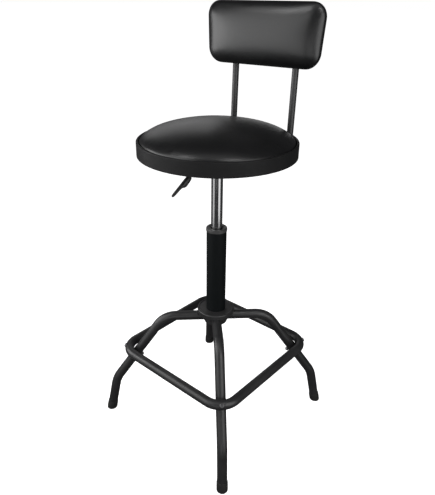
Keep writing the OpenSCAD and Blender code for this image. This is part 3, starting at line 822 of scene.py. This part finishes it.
def back_bolts():
    """The four hex bolts through the posts into the back pad's board."""
    length = 32.6
    rows = (-34.0, 34.0)
    over = Matrix.Rotation(math.pi / 2, 4, "X")
    pad = Matrix.Scale(1 / MM, 4) @ pad_matrix() @ Matrix.Scale(MM, 4)
    parts = []
    for sx in (-1, 1):
        for z in rows:
            here = pad @ Matrix.Translation((sx * POST_X, POST_D / 2, z)) @ over
            parts.append(moved(hex_bolt(length), here))
    points, faces = join(parts)
    piece("back_hex_bolts", points, faces, "zinc", "seat", ("back_bolts",), sharp=35)


# ---- Welds ----

def bead(path, closed=True):
    """A weld bead: a rippled tube along a path of points."""
    ripple = 0.25
    ripple_steps = 4
    sides = 10
    up = Vector((0, 0, 1))
    path = [Vector(p) for p in path]
    count = len(path)
    rings = []
    for i, p in enumerate(path):
        ahead = path[(i + 1) % count] if closed or i + 1 < count else p * 2 - path[i - 1]
        along = (ahead - p).normalized()
        side = along.cross(up).normalized() if abs(along.z) < 0.95 else along.orthogonal().normalized()
        other = along.cross(side)
        r = WELD_R * (1 + ripple * (0.5 - abs((i % ripple_steps) / ripple_steps - 0.5)))
        rings.append([p + (side * x + other * y) * r for x, y, _ in circle(1.0, 0.0, sides)])
    if closed:
        return loft(rings + rings[:1], ends=False)
    return loft(rings)


def hub_welds():
    """Beads where the legs meet the sleeve."""
    steps = 72
    weld_gap = 0.4
    parts = []
    for k in range(4):
        path = []
        for z, y, _ in circle(LEG_D / 2 + weld_gap, 0.0, steps):
            path.append((math.sqrt((HUB_R + weld_gap) ** 2 - y * y), y, LEG_Z + z))
        parts.append(moved(bead(path), at_leg(k)))
    points, faces = join(parts)
    piece("hub_welds", points, faces, "frame_paint", "base")


def plate_welds():
    """The bead between the socket and the seat plate, open where the lever passes."""
    bead_r = span("seat_socket")[1].x + 0.5
    bead_z = SEAT_Z - 0.9
    gap = math.radians(24)
    steps = 120
    turns = [LEVER_TURN + gap + (TAU - 2 * gap) * i / steps for i in range(steps + 1)]
    points, faces = bead([polar(bead_r, a, bead_z) for a in turns], closed=False)
    piece("socket_weld", points, faces, "bracket_paint", "seat")


# ---- Lever grip ----

def lever_grip():
    """The lever's moulded grip: a belly under its root, then a blade that narrows to its tip."""
    along = (LEVER_TIP - LEVER_BEND).normalized()
    up = Vector((-along.z, 0, along.x))
    square = 0.85
    steps = 32

    # Distance from the rod's bend, rise of the middle, half thickness, half width
    stations = [
        (4.0, 0.0, 4.2, 4.0), (4.6, 0.0, 5.4, 5.0), (7.0, -0.2, 6.2, 5.6), (11.0, -0.5, 6.9, 6.1),
        (18.0, -1.2, 7.4, 6.2), (25.0, -2.0, 7.6, 6.1), (29.0, -1.6, 7.1, 5.9), (32.0, -0.6, 5.9, 5.5),
        (35.0, 0.6, 4.5, 5.0), (38.0, 1.0, 3.7, 4.7), (46.0, 0.9, 3.4, 4.6), (54.0, 0.7, 3.2, 4.4),
        (61.0, 0.6, 2.9, 4.0), (65.0, 0.5, 2.4, 3.2), (66.3, 0.4, 1.5, 2.4),
    ]
    rings = []
    for distance, rise, half_t, half_w in stations:
        centre = LEVER_BEND + along * distance + up * rise
        ring = []
        for c, s, _ in circle(1.0, 0.0, steps):
            across = math.copysign(abs(c) ** square, c) * half_w
            height = math.copysign(abs(s) ** square, s) * half_t
            ring.append(centre + Vector((0, across, 0)) + up * height)
        rings.append(ring)
    points, faces = loft(rings)
    turn = Matrix.Rotation(LEVER_TURN, 4, "Z")
    subdivide(piece("lever_paddle", points, faces, "plastic", "lever", ("lever_grip",), turn), 2)


# ---- Under the seat ----

def dust_cover():
    """The black cloth over the board's underside, which sags very slightly, in waves, inside its edge."""
    low, high = span("seat_dust_cover")
    radius = high.x
    edge_lift = 0.3
    sag_depth = 0.0875
    grid, faces, edge = square_grid(48)
    points = []
    for a, b in grid:
        share, angle = disc_point(a, b)
        sag = smoothstep(1.0, 0.6, share) * (1 + 0.6 * math.sin(9 * angle) * share)
        points.append(polar(radius * share, angle, low.z + edge_lift - sag_depth * sag))
    top = [(points[i][0], points[i][1], high.z - 0.1) for i in edge]
    last = skirt(points, faces, edge, [top])
    faces.append(tuple(last))
    piece("dust_cover", points, faces, "dust_cloth", "seat", ("seat_dust_cover",), sharp=40)


# ---- Camera, light and floor ----

CAMERA_AT = Vector((0.6407, -0.9487, 1.0694))
CAMERA_TURN = math.radians(33.9)
CAMERA_TILT = math.radians(90 - 26.2)
CAMERA_ROLL = math.radians(0.72)
LENS = 37.12


def camera():
    """The photograph's viewing angle, found by fitting the chair's outlines."""
    data = bpy.data.cameras.new("camera")
    data.sensor_width = 36.0
    data.lens = LENS
    data.clip_end = 200.0
    obj = bpy.data.objects.new("camera", data)
    turn = Matrix.Rotation(CAMERA_TURN, 4, "Z")
    tilt = Matrix.Rotation(CAMERA_TILT, 4, "X")
    roll = Matrix.Rotation(CAMERA_ROLL, 4, "Z")
    obj.matrix_world = Matrix.Translation(CAMERA_AT) @ turn @ tilt @ roll
    scene.collection.objects.link(obj)
    scene.camera = obj


def softbox(name, bearing, distance, low, high, width, brightness, tilt=0.0):
    """A soft light that faces the chair's axis, tilted down by tilt degrees. bearing is degrees round the
    column from the camera, positive to the right in the picture."""
    data = bpy.data.lights.new(name, "AREA")
    data.shape = "RECTANGLE"
    data.size = width
    data.size_y = high - low
    data.energy = brightness * math.pi * width * (high - low)
    obj = bpy.data.objects.new(name, data)
    angle = CAMERA_TURN + math.radians(bearing)
    obj.location = (distance * math.sin(angle), -distance * math.cos(angle), (low + high) / 2)
    obj.rotation_euler = (math.radians(90 - tilt), 0, angle)
    obj.visible_camera = False
    scene.collection.objects.link(obj)


def lights():
    """Bearing, distance, height of the lower and upper edge, width and brightness of each light.

    The top one lies nearly flat, so its two heights only set its middle and its depth.
    """
    softbox("left_box", -64, 1.25, 0.45, 1.95, 1.25, 2.0)
    softbox("left_low_box", -68, 1.25, 0.02, 0.45, 0.85, 0.8)
    softbox("left_strip", -68, 1.0, 1.95, 2.8, 0.4, 8.0)
    softbox("far_left_box", -100, 1.5, 0.45, 1.4, 0.8, 4.0)
    softbox("right_box", 40, 1.3, 0.45, 1.7, 0.95, 2.4)
    softbox("right_strip", 28, 1.0, 1.85, 2.6, 0.45, 8.0)
    softbox("back_low_box", 170, 2.6, 0.65, 1.05, 0.9, 0.9)
    softbox("right_low_box", 48, 1.3, 0.02, 0.45, 0.9, 1.3)
    softbox("front_box", -12, 2.4, 0.05, 0.9, 1.6, 1.4)
    softbox("back_box", -166, 2.6, 1.1, 2.1, 1.3, 0.8)
    softbox("top_box", 0, 0.35, 2.0, 2.8, 1.0, 0.5, tilt=80)


def world():
    """White to the camera, dim grey to everything else."""
    sky = bpy.data.worlds.new("studio")
    scene.world = sky
    sky.use_nodes = True
    nodes, links = sky.node_tree.nodes, sky.node_tree.links
    nodes.clear()
    out = nodes.new("ShaderNodeOutputWorld")
    mix = nodes.new("ShaderNodeMixShader")
    path = nodes.new("ShaderNodeLightPath")
    dim = nodes.new("ShaderNodeBackground")
    white = nodes.new("ShaderNodeBackground")
    dim.inputs["Color"].default_value = (0.05, 0.05, 0.052, 1)
    white.inputs["Color"].default_value = (1, 1, 1, 1)
    links.new(path.outputs["Is Camera Ray"], mix.inputs["Fac"])
    links.new(dim.outputs["Background"], mix.inputs[1])
    links.new(white.outputs["Background"], mix.inputs[2])
    links.new(mix.outputs["Shader"], out.inputs["Surface"])


def floor():
    """A pale floor that the chair neither mirrors nor is lit by."""
    size = 60.0
    under_soles = 0.0005
    mesh = bpy.data.meshes.new("floor")
    corners = [(-size, -size, 0), (size, -size, 0), (size, size, 0), (-size, size, 0)]
    mesh.from_pydata(corners, [], [(0, 1, 2, 3)])
    mesh.materials.append(floor_paint("floor_paint"))
    obj = bpy.data.objects.new("floor", mesh)
    obj.location.z = -under_soles
    obj.visible_glossy = False
    obj.visible_diffuse = False
    scene.collection.objects.link(obj)


camera()
dress_frame()
seat_cushion()
back_cushion()
for leg in range(4):
    foot_cap(leg)
ring_fasteners()
board_bolts()
back_bolts()
hub_welds()
plate_welds()
lever_grip()
dust_cover()
lights()
world()
floor()
scene.view_settings.view_transform = "Standard"
scene.view_settings.look = "None"
